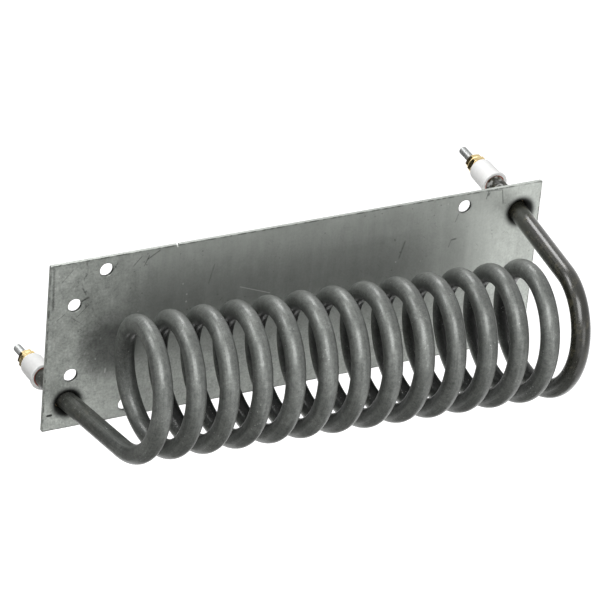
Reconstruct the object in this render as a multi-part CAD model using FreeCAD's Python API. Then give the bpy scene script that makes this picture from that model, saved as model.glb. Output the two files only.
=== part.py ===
"""Tubular heating element: a metal-sheathed coil carried by a flat mounting plate.

Frame, in millimetres: X runs along the plate, Z is up and Y points from the coil through the plate to the terminals.
The origin is the middle of the plate's coil-side face, the face that seats on the duct wall.
The sheath is one tube. Seen from the left terminal it passes through the plate, runs forward as a leg, winds
a left-handed coil of a whole number of turns and a half, and comes back through the plate as the other leg.
"""

import FreeCAD, Part
import math
import os
from FreeCAD import Placement, Rotation, Vector

# Sheath tube and what is packed in it
sheath_diameter = 10.92
sheath_wall = 0.9
winding_diameter = 3.8
shank_diameter = 3.2
cold_reach = 40.0
end_plug_depth = 4.0

# Coil
coil_mean_radius = 34.43
coil_pitch = 19.52
coil_whole_turns = 13
spans_per_turn = 4

# Where the coil hangs, as the hand-bent legs leave it
coil_standoff = 60.25
coil_drop = 0.4
coil_shift = 0.5
coil_droop_angle = 1.66
coil_splay_angle = 1.09
left_lead_angle = 4.75
right_lead_angle = 3.5

# Legs and tails: a leg runs from the coil to the plate, and in the collar the tail bends to nearly square
tail_bend_radius = 40.0
left_tail_length = 27.7
left_tail_side_lean = 1.95
left_tail_up_lean = -4.75
right_tail_length = 25.2
right_tail_side_lean = 0.9
right_tail_up_lean = 3.7

# Mounting plate
plate_thickness = 2.0
plate_end_margin = 12.65
plate_edge_margin = 15.75
plate_corner_radius = 0.8
bolt_hole_diameter = 8.0
bolt_row_inset = 8.1
outer_bolt_inset = 33.4
inner_bolt_inset = 49.7
end_bolt_inset = 15.6
end_bolt_height = 25.0
lone_bolt_rise = 17.3
notch_inset = 75.5
notch_width = 1.4
notch_depth = 1.3
dash_end_inset = 4.1
dash_edge_inset = 9.8
dash_length = 3.4
dash_width = 1.3
dash_depth = 0.5

# Drawn collar round each tube, and the ring of braze behind it
collar_clearance = 0.6
collar_shoulder_radius = 3.3
collar_wall = 1.6
collar_height = 7.0
braze_height = 2.6
braze_toe = 0.4
braze_throat = 1.1

# Terminal: ceramic bush, seal, stud, nuts and washer
bush_length = 19.0
bush_rim_diameter = 15.8
bush_rim_height = 2.2
bush_rim_ledge = 0.7
bush_rim_rounding = 0.5
bush_taper = 0.3
bush_mouth_wall = 1.9
bush_mouth_rounding = 0.4
bush_crown_rounding = 2.4
bush_engagement = 8.0
bush_socket_clearance = 1.4
stud_bore_clearance = 0.2
seal_recess = 0.5
stud_diameter = 4.83
thread_engagement = 0.26
stud_projection = 13.4
stud_point_chamfer = 0.6
seat_nut_width = 11.1
seat_nut_height = 3.4
clamp_nut_width = 9.5
clamp_nut_height = 3.2
nut_chamfer_angle = 30.0
washer_diameter = 11.0
washer_thickness = 0.9
washer_bore_clearance = 0.2
left_nut_turn = 46.0
right_nut_turn = 56.0
clamp_nut_extra_turn = 4.0

sheath_radius = sheath_diameter / 2
sheath_bore_radius = sheath_radius - sheath_wall
shank_radius = shank_diameter / 2
stud_radius = stud_diameter / 2
engaged_radius = stud_radius - thread_engagement
winding_radius = winding_diameter / 2


class Run:
    """A straight stretch of a centre line."""

    def __init__(self, start, end):
        self.start = start
        self.end = end
        self.heading = (end - start).normalize()

    def reversed(self):
        return Run(self.end, self.start)

    def sweep(self, rim):
        """Carry a closed rim along the run and return its wall and the rim at the far end."""
        travel = self.end - self.start
        far_rim = rim.copy()
        far_rim.translate(travel)
        return rim.extrude(travel), far_rim


class Bend:
    """A circular stretch that leaves start and reaches end along the two sides of its corner."""

    def __init__(self, start, corner, end):
        self.start = start
        self.corner = corner
        self.end = end
        self.heading = (corner - start).normalize()
        leaving = (end - corner).normalize()
        self.turn = self.heading.getAngle(leaving)
        self.axis = self.heading.cross(leaving).normalize()
        self.radius = start.distanceToPoint(corner) / math.tan(self.turn / 2)
        self.centre = start + self.axis.cross(self.heading) * self.radius

    def reversed(self):
        return Bend(self.end, self.corner, self.start)

    def sweep(self, rim):
        """Carry a closed rim round the bend and return its wall and the rim at the far end."""
        degrees = math.degrees(self.turn)
        far_rim = rim.copy()
        far_rim.rotate(self.centre, self.axis, degrees)
        return rim.revolve(self.centre, self.axis, degrees), far_rim


def walls_along(path, radius):
    """Faces of the round wall that follows a path, with the rims at its two ends."""
    near_rim = Part.Wire([Part.makeCircle(radius, path[0].start, path[0].heading)])
    rim = near_rim
    walls = []
    for stretch in path:
        wall, rim = stretch.sweep(rim)
        walls.extend(wall.Faces)
    return walls, near_rim, rim


def closed_solid(faces):
    """One solid from faces that enclose it."""
    shell = Part.makeShell(faces)
    shell.sewShape()
    solid = Part.makeSolid(shell)
    if solid.Volume < 0:
        solid.reverse()
    return solid


def rod(path, radius):
    """A solid round bar along a path."""
    walls, near_rim, far_rim = walls_along(path, radius)
    return closed_solid(walls + [Part.Face(near_rim), Part.Face(far_rim)])


def pipe(path, radius, bore_radius):
    """A round tube along a path."""
    outer_walls, near_outer, far_outer = walls_along(path, radius)
    inner_walls, near_inner, far_inner = walls_along(path, bore_radius)
    ends = []
    for outer_rim, inner_rim in ((near_outer, near_inner), (far_outer, far_inner)):
        ends.append(Part.makeFace([outer_rim, inner_rim], "Part::FaceMakerBullseye"))
    return closed_solid(outer_walls + inner_walls + ends)


def moved(solid, placement):
    """The same solid carried to a new place, on top of the place that it has."""
    copy = solid.copy()
    copy.Placement = placement.multiply(copy.Placement)
    return copy


def raised(solid, height):
    """The same solid moved up Z."""
    return moved(solid, Placement(Vector(0, 0, height), Rotation()))


def turned(outline):
    """A solid of revolution about Z from radius and height pairs."""
    corners = [Vector(radius, 0, height) for radius, height in outline]
    wire = Part.makePolygon(corners + corners[:1])
    return Part.Face(wire).revolve(Vector(0, 0, 0), Vector(0, 0, 1), 360)


def round_edges(solid, rounding, radius, height):
    """Round the circular edges of one radius and height on a turned solid."""
    edges = []
    for edge in solid.Edges:
        if edge.Curve.TypeId == "Part::GeomCircle":
            same_radius = math.isclose(edge.Curve.Radius, radius, abs_tol=1e-6)
            same_height = math.isclose(edge.Curve.Center.z, height, abs_tol=1e-6)
            if same_radius and same_height:
                edges.append(edge)
    return solid.makeFillet(rounding, edges)


# The coil's own frame: its axis is X, its lowest line is -Z and its front is -Y
coil_turn = Rotation(Vector(0, 0, 1), -coil_splay_angle).multiply(Rotation(Vector(0, 1, 0), coil_droop_angle))
coil_place = Placement(Vector(-coil_shift, -coil_standoff, -coil_drop), coil_turn)
coil_middle_angle = math.pi * (coil_whole_turns + 0.5)
coil_first_angle = math.radians(left_lead_angle)
coil_last_angle = 2 * coil_middle_angle - math.radians(right_lead_angle)


def coil_point(angle):
    """Centre of the tube at an angle wound from the coil's lowest line at the left end."""
    along = coil_pitch * (angle - coil_middle_angle) / (2 * math.pi)
    across = -coil_mean_radius * math.sin(angle)
    up = -coil_mean_radius * math.cos(angle)
    return coil_place.multVec(Vector(along, across, up))


def coil_heading(angle):
    """Direction of the winding at an angle, from left to right."""
    along = coil_pitch / (2 * math.pi)
    across = -coil_mean_radius * math.cos(angle)
    up = coil_mean_radius * math.sin(angle)
    return coil_turn.multVec(Vector(along, across, up)).normalize()


def paired_bends(first, last):
    """Two bends that share their middle point and leave and reach the coil along its own headings."""
    start, end = coil_point(first), coil_point(last)
    start_heading, end_heading = coil_heading(first), coil_heading(last)
    chord = end - start
    quadratic = 2 * (start_heading.dot(end_heading) - 1)
    linear = -2 * chord.dot(start_heading + end_heading)
    root = math.sqrt(linear**2 - 4 * quadratic * chord.dot(chord))
    side = (-linear - root) / (2 * quadratic)
    first_corner = start + start_heading * side
    last_corner = end - end_heading * side
    middle = (first_corner + last_corner) * 0.5
    return [Bend(start, first_corner, middle), Bend(middle, last_corner, end)]


def coil_path():
    """The whole winding as tangent bends."""
    wound = coil_last_angle - coil_first_angle
    spans = math.ceil(wound / (2 * math.pi) * spans_per_turn)
    step = wound / spans
    path = []
    for span in range(spans):
        first = coil_first_angle + span * step
        path.extend(paired_bends(first, first + step))
    return path


# The collar's middle, where each leg turns into its tail
collar_middle_depth = (collar_shoulder_radius + collar_height) / 2


class Leg:
    """One end of the element, from the coil through the plate to the tip of its stud."""

    def __init__(self, name, coil_angle, outward, tail_length, side_lean, up_lean, nut_turn):
        self.name = name
        self.nut_turn = nut_turn
        self.coil_end = coil_point(coil_angle)
        self.heading = coil_heading(coil_angle) * outward
        side = math.tan(math.radians(side_lean))
        up = math.tan(math.radians(up_lean))
        self.tail_heading = Vector(side, 1, up).normalize()
        self.corner = self.at_depth(collar_middle_depth)
        half_turn = self.heading.getAngle(self.tail_heading) / 2
        self.bend_side = tail_bend_radius * math.tan(half_turn)
        self.mouth = self.corner + self.tail_heading * tail_length

    def at_depth(self, depth):
        """Point where the leg's straight line stands at a depth behind the plate's coil-side face."""
        reach = (depth - self.coil_end.y) / self.heading.y
        return self.coil_end + self.heading * reach

    def on_tail(self, height):
        """Point on the tail's axis at a height behind the bush's mouth."""
        return self.mouth + self.tail_heading * height

    def cold_end(self):
        """Point on the leg where the terminal pin ends and the winding starts."""
        return self.corner - self.heading * cold_reach

    def inward(self, height, leg_end):
        """Path from a height on the tail, round the bend and along the leg to a point on it."""
        bend_start = self.corner + self.tail_heading * self.bend_side
        bend_end = self.corner - self.heading * self.bend_side
        tail = Run(self.on_tail(height), bend_start)
        bend = Bend(bend_start, self.corner, bend_end)
        return [tail, bend, Run(bend_end, leg_end)]

    def stand(self, solid):
        """Place a solid built on the Z axis so that it stands on the tail with Z = 0 at the bush's mouth."""
        return moved(solid, Placement(self.mouth, Rotation(Vector(0, 0, 1), self.tail_heading)))


left_leg = Leg(
    "left", coil_first_angle, -1, left_tail_length, left_tail_side_lean, left_tail_up_lean, left_nut_turn
)
right_leg = Leg(
    "right", coil_last_angle, 1, right_tail_length, right_tail_side_lean, right_tail_up_lean, right_nut_turn
)
legs = (left_leg, right_leg)


def backwards(path):
    """The same path walked from its other end."""
    return [stretch.reversed() for stretch in reversed(path)]


def whole_path(height):
    """The element's centre line between the same height on both tails."""
    way_in = left_leg.inward(height, left_leg.coil_end)
    way_out = backwards(right_leg.inward(height, right_leg.coil_end))
    return way_in + coil_path() + way_out


# Plate: sized so that both tubes keep their margins to its ends and edges
collar_bore_radius = sheath_radius + collar_clearance
collar_mouth_radius = collar_bore_radius + collar_shoulder_radius
tube_holes = [leg.corner for leg in legs]
plate_half_length = max(abs(hole.x) for hole in tube_holes) + plate_end_margin
plate_half_height = max(abs(hole.z) for hole in tube_holes) + plate_edge_margin


def bolt_holes():
    """Hole centres: three pairs that swap places when the plate is turned half round, and a lone one."""
    row = plate_half_height - bolt_row_inset
    pairs = (
        (plate_half_length - inner_bolt_inset, row),
        (outer_bolt_inset - plate_half_length, row),
        (end_bolt_inset - plate_half_length, end_bolt_height),
    )
    centres = []
    for x, z in pairs:
        centres.append(Vector(x, 0, z))
        centres.append(Vector(-x, 0, -z))
    lone_height = tube_holes[0].z + lone_bolt_rise
    centres.append(Vector(end_bolt_inset - plate_half_length, 0, lone_height))
    return centres


def drawn_collar():
    """The sheet turned back round a tube: a rounded shoulder on the coil side and a short neck behind."""
    mouth = collar_mouth_radius
    shoulder = collar_shoulder_radius
    throat = collar_bore_radius
    neck = throat + collar_wall
    inner_bend = shoulder - plate_thickness
    slant = math.sqrt(0.5)
    coil_side = Part.Arc(
        Vector(mouth, 0, 0),
        Vector(mouth - shoulder * slant, 0, shoulder * (1 - slant)),
        Vector(throat, 0, shoulder),
    )
    foot = neck + inner_bend
    back_side = Part.Arc(
        Vector(neck, 0, plate_thickness + inner_bend),
        Vector(foot - inner_bend * slant, 0, plate_thickness + inner_bend * (1 - slant)),
        Vector(foot, 0, plate_thickness),
    )
    corners = [
        Vector(throat, 0, shoulder),
        Vector(throat, 0, collar_height),
        Vector(neck, 0, collar_height),
        Vector(neck, 0, plate_thickness + inner_bend),
    ]
    rim = [
        Vector(foot, 0, plate_thickness),
        Vector(mouth, 0, plate_thickness),
        Vector(mouth, 0, 0),
    ]
    edges = [coil_side.toShape()]
    edges.extend(Part.makePolygon(corners).Edges)
    edges.append(back_side.toShape())
    edges.extend(Part.makePolygon(rim).Edges)
    return Part.Face(Part.Wire(edges)).revolve(Vector(0, 0, 0), Vector(0, 0, 1), 360)


def facing_back(solid, centre):
    """Place a solid built on the Z axis so that Z points behind the plate, with Z = 0 on the coil-side face."""
    return moved(solid, Placement(Vector(centre.x, 0, centre.z), Rotation(Vector(1, 0, 0), -90)))


def mounting_plate():
    """Sheared sheet with bolt holes, a drawn collar for each tube, an edge notch and a dash mark."""
    size = Vector(2 * plate_half_length, plate_thickness, 2 * plate_half_height)
    plate = Part.makeBox(size.x, size.y, size.z, Vector(-plate_half_length, 0, -plate_half_height))
    upright = [edge for edge in plate.Edges if edge.tangentAt(edge.FirstParameter).isParallel(Vector(0, 1, 0), 1e-6)]
    plate = plate.makeFillet(plate_corner_radius, upright)
    for centre in bolt_holes():
        drill = Part.makeCylinder(bolt_hole_diameter / 2, plate_thickness, centre, Vector(0, 1, 0))
        plate = plate.cut(drill)
    for centre in tube_holes:
        opening = Part.makeCylinder(collar_mouth_radius, plate_thickness)
        plate = plate.cut(facing_back(opening, centre))
        plate = plate.fuse(facing_back(drawn_collar(), centre))
    notch_corner = Vector(
        notch_inset - plate_half_length - notch_width / 2, 0, plate_half_height - notch_depth
    )
    plate = plate.cut(Part.makeBox(notch_width, plate_thickness, notch_depth, notch_corner))
    return plate.cut(dash_mark()).removeSplitter()


def dash_mark():
    """The short blind slot struck into the coil-side face near the lower left corner."""
    radius = dash_width / 2
    x = dash_end_inset - plate_half_length
    z = dash_edge_inset - plate_half_height
    half = dash_length / 2 - radius
    bar = Part.makeBox(2 * half, dash_depth, dash_width, Vector(x - half, 0, z - radius))
    for end in (-half, half):
        bar = bar.fuse(Part.makeCylinder(radius, dash_depth, Vector(x + end, 0, z), Vector(0, 1, 0)))
    return bar


def braze_ring(leg, centre):
    """The fillet of braze that closes the back of a collar round its tube."""
    foot = collar_bore_radius + collar_wall - braze_toe
    top = sheath_radius + braze_throat
    fillet = raised(Part.makeCone(foot, top, braze_height), collar_height)
    tube = rod(leg.inward(0, leg.coil_end), sheath_radius)
    return facing_back(fillet, centre).cut(tube)


# Terminal sizes that follow from the sheath and the stud
socket_radius = bush_rim_diameter / 2 - bush_mouth_wall
socket_depth = bush_engagement + bush_socket_clearance
fill_end_height = bush_engagement - end_plug_depth
seat_nut_base = bush_length
washer_base = seat_nut_base + seat_nut_height
clamp_nut_base = washer_base + washer_thickness
thread_start = clamp_nut_base + clamp_nut_height
stud_tip = thread_start + stud_projection


def ceramic_bush():
    """Glazed bush with a rim round its mouth, a wide socket for the sheath's end and a bore for the stud."""
    rim_radius = bush_rim_diameter / 2
    foot_radius = rim_radius - bush_rim_ledge
    crown_radius = foot_radius - bush_taper
    stud_bore = stud_radius + stud_bore_clearance
    outline = [
        (socket_radius, 0),
        (rim_radius, 0),
        (rim_radius, bush_rim_height),
        (foot_radius, bush_rim_height),
        (crown_radius, bush_length),
        (stud_bore, bush_length),
        (stud_bore, socket_depth),
        (socket_radius, socket_depth),
    ]
    bush = turned(outline)
    bush = round_edges(bush, bush_crown_rounding, crown_radius, bush_length)
    bush = round_edges(bush, bush_rim_rounding, rim_radius, bush_rim_height)
    bush = round_edges(bush, bush_rim_rounding, rim_radius, 0)
    return round_edges(bush, bush_mouth_rounding, socket_radius, 0)


def end_seal():
    """Sealing compound cast round the sheath's end, over its face and down into its bore."""
    outline = [
        (sheath_radius, seal_recess),
        (socket_radius, seal_recess),
        (socket_radius, socket_depth),
        (shank_radius, socket_depth),
        (shank_radius, fill_end_height),
        (sheath_bore_radius, fill_end_height),
        (sheath_bore_radius, bush_engagement),
        (sheath_radius, bush_engagement),
    ]
    return turned(outline)


def hex_nut(width, height, turn):
    """Hexagon nut with both faces chamfered, bored to the depth at which its thread holds the stud."""
    corner = width / math.sqrt(3)
    corners = []
    for index in range(7):
        angle = math.radians(60 * index + turn)
        corners.append(Vector(corner * math.cos(angle), corner * math.sin(angle), 0))
    prism = Part.Face(Part.makePolygon(corners)).extrude(Vector(0, 0, height))
    chamfer = (corner - width / 2) * math.tan(math.radians(nut_chamfer_angle))
    blank = turned(
        [
            (engaged_radius, 0),
            (width / 2, 0),
            (corner, chamfer),
            (corner, height - chamfer),
            (width / 2, height),
            (engaged_radius, height),
        ]
    )
    return prism.common(blank)


def flat_washer():
    """Plain washer between the two nuts, loose on the stud."""
    bore = stud_radius + washer_bore_clearance
    return turned(
        [
            (bore, 0),
            (washer_diameter / 2, 0),
            (washer_diameter / 2, washer_thickness),
            (bore, washer_thickness),
        ]
    )


def terminal_pin(leg):
    """Stud outside the seal, thinner where nuts and bush hold it, and the shank that runs to the winding."""
    stud = turned(
        [
            (0, socket_depth),
            (engaged_radius, socket_depth),
            (engaged_radius, thread_start),
            (stud_radius, thread_start),
            (stud_radius, stud_tip - stud_point_chamfer),
            (stud_radius - stud_point_chamfer, stud_tip),
            (0, stud_tip),
        ]
    )
    shank = rod(leg.inward(socket_depth, leg.cold_end()), shank_radius)
    return leg.stand(stud).fuse(shank)


def winding():
    """The resistance winding between the two pins, drawn as its own outer diameter."""
    way_in = Run(left_leg.cold_end(), left_leg.coil_end)
    way_out = Run(right_leg.coil_end, right_leg.cold_end())
    return rod([way_in] + coil_path() + [way_out], winding_radius)


def build():
    """Every piece by its name."""
    pieces = {
        "mounting_plate": mounting_plate(),
        "sheath": pipe(whole_path(bush_engagement), sheath_radius, sheath_bore_radius),
        "resistance_coil": winding(),
    }
    for leg, hole in zip(legs, tube_holes):
        pieces["terminal_pin_" + leg.name] = terminal_pin(leg)
        pieces["end_seal_" + leg.name] = leg.stand(end_seal())
        pieces["ceramic_bush_" + leg.name] = leg.stand(ceramic_bush())
        seat_nut = raised(hex_nut(seat_nut_width, seat_nut_height, leg.nut_turn), seat_nut_base)
        pieces["seat_nut_" + leg.name] = leg.stand(seat_nut)
        pieces["washer_" + leg.name] = leg.stand(raised(flat_washer(), washer_base))
        clamp_turn = leg.nut_turn + clamp_nut_extra_turn
        clamp_nut = raised(hex_nut(clamp_nut_width, clamp_nut_height, clamp_turn), clamp_nut_base)
        pieces["clamp_nut_" + leg.name] = leg.stand(clamp_nut)
        pieces["braze_ring_" + leg.name] = braze_ring(leg, hole)
    fill = rod(whole_path(fill_end_height), sheath_bore_radius)
    for inner in ("terminal_pin_left", "terminal_pin_right", "resistance_coil"):
        fill = fill.cut(pieces[inner])
    pieces["magnesia_fill"] = fill
    return pieces


os.makedirs("parts", exist_ok=True)
for name, shape in build().items():
    shape.exportStep(os.path.join("parts", name + ".step"))
    print(name, len(shape.Solids), "solid", round(shape.Volume, 1), "mm3", shape.isValid())
for leg, hole in zip(legs, tube_holes):
    print(leg.name, "tube hole at", round(hole.x, 2), round(hole.z, 2))
print("plate", round(2 * plate_half_length, 2), "x", round(2 * plate_half_height, 2))
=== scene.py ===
"""Looks of a tubular heating element: a sheathed coil, its sheet-metal plate and its two terminals.

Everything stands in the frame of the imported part, in metres: +X runs along the plate, +Z is up, and +Y
leads from the coil through the plate to the terminals. The origin is the middle of the plate's coil-side
face.
"""

import logging
import math
from dataclasses import dataclass, field
from enum import Enum
from functools import partial
from typing import Callable, Iterable, Sequence, Union

import bmesh
import bpy
from mathutils import Matrix, Quaternion, Vector


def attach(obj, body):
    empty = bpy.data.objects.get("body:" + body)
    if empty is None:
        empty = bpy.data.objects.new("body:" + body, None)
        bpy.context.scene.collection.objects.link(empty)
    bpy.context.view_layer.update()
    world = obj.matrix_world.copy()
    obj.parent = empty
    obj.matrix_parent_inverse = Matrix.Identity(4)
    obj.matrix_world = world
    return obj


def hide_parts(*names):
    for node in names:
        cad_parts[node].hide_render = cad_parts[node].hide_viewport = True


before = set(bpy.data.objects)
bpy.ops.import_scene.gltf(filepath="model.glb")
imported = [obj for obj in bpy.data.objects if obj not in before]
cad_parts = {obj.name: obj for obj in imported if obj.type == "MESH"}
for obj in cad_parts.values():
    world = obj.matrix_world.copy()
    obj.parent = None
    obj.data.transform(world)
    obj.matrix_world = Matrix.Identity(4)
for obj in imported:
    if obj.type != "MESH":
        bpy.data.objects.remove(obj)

LOG = logging.getLogger("heating_element")
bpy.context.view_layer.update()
BODY = "root"
TUBE_MAP = "along_and_round"

# Angle in degrees above which an edge stays sharp
CREASE = 32.0

# Inputs and output of a Mix node that mixes colours
MIX_FACTOR, MIX_FIRST, MIX_SECOND, MIX_RESULT = 0, 6, 7, 2


def mm(length: float) -> float:
    """Return a length given in millimetres as metres."""
    return length * 0.001


class Side(Enum):
    """The two ends of the element."""

    LEFT = "left"
    RIGHT = "right"

    def node(self, stem: str) -> str:
        """Name of this side's piece of a kind, such as clamp_nut_left."""
        return f"{stem}_{self.value}"


class Blend(Enum):
    """How two colours meet in a Mix node."""

    MIX = "MIX"
    MULTIPLY = "MULTIPLY"


Operand = Union["Signal", float]
Pair = tuple[float, float]
Triple = tuple[float, float, float]
Colour = Triple


def per_side(left: float, right: float) -> dict[Side, float]:
    """A dataclass field that holds a value for each side."""
    return field(default_factory=lambda: {Side.LEFT: left, Side.RIGHT: right})


class Signal:
    """A shader socket that takes part in Python expressions."""

    def __init__(self, graph: "Graph", socket: bpy.types.NodeSocket) -> None:
        """Keep the socket and the graph that it belongs to."""
        self.graph = graph
        self.socket = socket

    def _with(self, operation: str, *operands: Operand) -> "Signal":
        """Add the Math node that joins the operands."""
        return self.graph.node("ShaderNodeMath", {"operation": operation}, dict(enumerate(operands)))

    def __add__(self, other: Operand) -> "Signal":
        """Sum."""
        return self._with("ADD", self, other)

    __radd__ = __add__

    def __sub__(self, other: Operand) -> "Signal":
        """Difference."""
        return self._with("SUBTRACT", self, other)

    def __rsub__(self, other: Operand) -> "Signal":
        """Difference from a number."""
        return self._with("SUBTRACT", other, self)

    def __mul__(self, other: Operand) -> "Signal":
        """Product."""
        return self._with("MULTIPLY", self, other)

    __rmul__ = __mul__

    def __abs__(self) -> "Signal":
        """Size without sign."""
        return self._with("ABSOLUTE", self)

    def least(self, other: Operand) -> "Signal":
        """The smaller of two values."""
        return self._with("MINIMUM", self, other)

    def most(self, other: Operand) -> "Signal":
        """The larger of two values."""
        return self._with("MAXIMUM", self, other)

    def root(self) -> "Signal":
        """Square root."""
        return self._with("SQRT", self)

    def step(self, low: float, high: float, start: float = 0.0, end: float = 1.0) -> "Signal":
        """Smooth rise from one value to another.

        Args:
            low: Input at which the rise starts.
            high: Input at which it is complete.
            start: Result below low.
            end: Result above high.

        Returns:
            The eased value.
        """
        settings = {"interpolation_type": "SMOOTHSTEP"}
        sockets = {"Value": self, "From Min": low, "From Max": high, "To Min": start, "To Max": end}
        return self.graph.node("ShaderNodeMapRange", settings, sockets)


class Graph:
    """Builds the nodes of one material, or those of the world's light."""

    def __init__(self, name: str, world: bool = False) -> None:
        """Start with nothing but the output node.

        Args:
            name: Name of the material or the world.
            world: Whether the nodes light the world.
        """
        self.owner = (bpy.data.worlds if world else bpy.data.materials).new(name)
        self.owner.use_nodes = True
        self.tree = self.owner.node_tree
        self.tree.nodes.clear()
        self.output = self.tree.nodes.new("ShaderNodeOutputWorld" if world else "ShaderNodeOutputMaterial")

    def node(
        self, kind: str, settings: dict | None = None, sockets: dict | None = None, out: int | str = 0
    ) -> Signal:
        """Add a node.

        Args:
            kind: The node's Blender type.
            settings: Properties, set first.
            sockets: Values or links by input name or index.
            out: Name or index of the output that is wanted.

        Returns:
            The chosen output.
        """
        node = self.tree.nodes.new(kind)
        for key, value in (settings or {}).items():
            setattr(node, key, value)
        for key, value in (sockets or {}).items():
            if isinstance(value, Signal):
                self.tree.links.new(value.socket, node.inputs[key])
            else:
                node.inputs[key].default_value = value
        return Signal(self, node.outputs[out])

    def finish(self, shader: Signal) -> bpy.types.ID:
        """Lead a shader to the output, and return the material or the world."""
        self.tree.links.new(shader.socket, self.output.inputs["Surface"])
        return self.owner

    def surface(self, fixed: dict, varied: dict) -> bpy.types.Material:
        """Finish the material.

        Args:
            fixed: Values of the shader's own sockets that are the same all over.
            varied: Signals for the sockets that change over the surface.

        Returns:
            The material.
        """
        return self.finish(self.node("ShaderNodeBsdfPrincipled", sockets={**fixed, **varied}))

    def place(self) -> Signal:
        """Position on the object, in metres."""
        return self.node("ShaderNodeTexCoord", out="Object")

    def axes(self, vector: Signal) -> tuple[Signal, Signal, Signal]:
        """The three components of a vector."""
        split = self.node("ShaderNodeSeparateXYZ", sockets={0: vector})
        return tuple(Signal(self, output) for output in split.socket.node.outputs)

    def vector(self, x: Operand, y: Operand, z: Operand) -> Signal:
        """A vector from three values."""
        return self.node("ShaderNodeCombineXYZ", sockets={0: x, 1: y, 2: z})

    def vector_math(self, operation: str, *operands: Signal | Triple, out: str = "Vector") -> Signal:
        """Add a Vector Math node.

        Args:
            operation: What it does with the operands.
            operands: Vectors, as signals or as numbers.
            out: Value where the result is one number.

        Returns:
            The result.
        """
        return self.node("ShaderNodeVectorMath", {"operation": operation}, dict(enumerate(operands)), out)

    def along_tube(self) -> tuple[Signal, Signal]:
        """Distance along a swept tube in metres, and a value that goes from 1 to 0 and back round it."""
        along, around, _ = self.axes(self.node("ShaderNodeUVMap", {"uv_map": TUBE_MAP}))
        return along, around

    def stretched(self, vector: Signal, scale: Triple, turn: Triple = (0, 0, 0)) -> Signal:
        """Position scaled apart along its axes, after a rotation in radians."""
        settings, sockets = {"vector_type": "TEXTURE"}, {"Vector": vector, "Rotation": turn}
        return self.vector_math("MULTIPLY", self.node("ShaderNodeMapping", settings, sockets), scale)

    def noise(self, vector: Signal, scale: float = 1.0, detail: float = 3.0, rough: float = 0.55) -> Signal:
        """Fractal noise from 0 to 1.

        Args:
            vector: Position.
            scale: Cycles for each unit of it.
            detail: Number of octaves.
            rough: Weight of the finer octaves.

        Returns:
            The noise.
        """
        sockets = {"Vector": vector, "Scale": scale, "Detail": detail, "Roughness": rough}
        return self.node("ShaderNodeTexNoise", sockets=sockets)

    def cells(self, vector: Signal, scale: float) -> Signal:
        """Distance to the nearest scattered point, in cells."""
        return self.node("ShaderNodeTexVoronoi", sockets={"Vector": vector, "Scale": scale}, out="Distance")

    def mix(
        self, factor: Operand, first: Signal | Colour, second: Signal | Colour, how: Blend = Blend.MIX
    ) -> Signal:
        """Mix two colours.

        Args:
            factor: Share of the second colour.
            first: Colour at factor 0.
            second: Colour at factor 1.
            how: Blend mode.

        Returns:
            The mixed colour.
        """
        settings = {"data_type": "RGBA", "blend_type": how.value, "clamp_factor": True}
        sockets = {MIX_FACTOR: factor}
        for key, colour in ((MIX_FIRST, first), (MIX_SECOND, second)):
            sockets[key] = colour if isinstance(colour, Signal) else (*colour, 1.0)
        return self.node("ShaderNodeMix", settings, sockets, MIX_RESULT)

    def scale_colour(self, colour: Signal | Colour, amount: Signal) -> Signal:
        """A colour made darker or lighter by a value near 1."""
        grey = self.node("ShaderNodeCombineColor", sockets={0: amount, 1: amount, 2: amount})
        return self.mix(1.0, colour, grey, Blend.MULTIPLY)

    def bump(
        self, height: Signal, depth: float, strength: float = 1.0, under: Signal | None = None
    ) -> Signal:
        """Surface normal of a relief.

        Args:
            height: Height, as a share of the depth.
            depth: Depth in metres, below 0 where the relief goes in.
            strength: Share of the effect.
            under: Normal of the relief beneath, where there is one.

        Returns:
            The normal.
        """
        sockets = {"Strength": strength, "Distance": depth, "Height": height}
        if under is not None:
            sockets["Normal"] = under
        return self.node("ShaderNodeBump", sockets=sockets)


@dataclass(frozen=True)
class Scratch:
    """A straight score on the plate's coil-side face, written in millimetres.

    Args:
        start: X and Z of one end.
        end: X and Z of the other end.
        width: Width of the score.
        tone: Share by which it darkens the sheet, below 0 for a bright score; a few bright scores are painted
            glints.
    """

    start: Pair
    end: Pair
    width: float
    tone: float

    def in_metres(self) -> tuple[float, ...]:
        """X and Z of the start, X and Z of the end, and the width."""
        return tuple(mm(size) for size in (*self.start, *self.end, self.width))


@dataclass(frozen=True)
class SheetPlan:
    """Where the sheet's openings and edges lie, for the marks that follow them.

    Args:
        half_length: Half the sheet's length.
        half_height: Half its height.
        thickness: Its thickness.
        mouths: Centres of the tube holes, round which shade is painted into the collars' mouths.
        mouth_radius: Radius at which each collar's rounding starts.
        holes: Centres of the bolt holes.
        hole_radius: Their radius.
        dash: Centre of the struck slot.
        dash_size: Its length and width.
    """

    half_length: float
    half_height: float
    thickness: float
    mouths: Sequence[Vector]
    mouth_radius: float
    holes: Sequence[Vector]
    hole_radius: float
    dash: Vector
    dash_size: Pair


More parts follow.
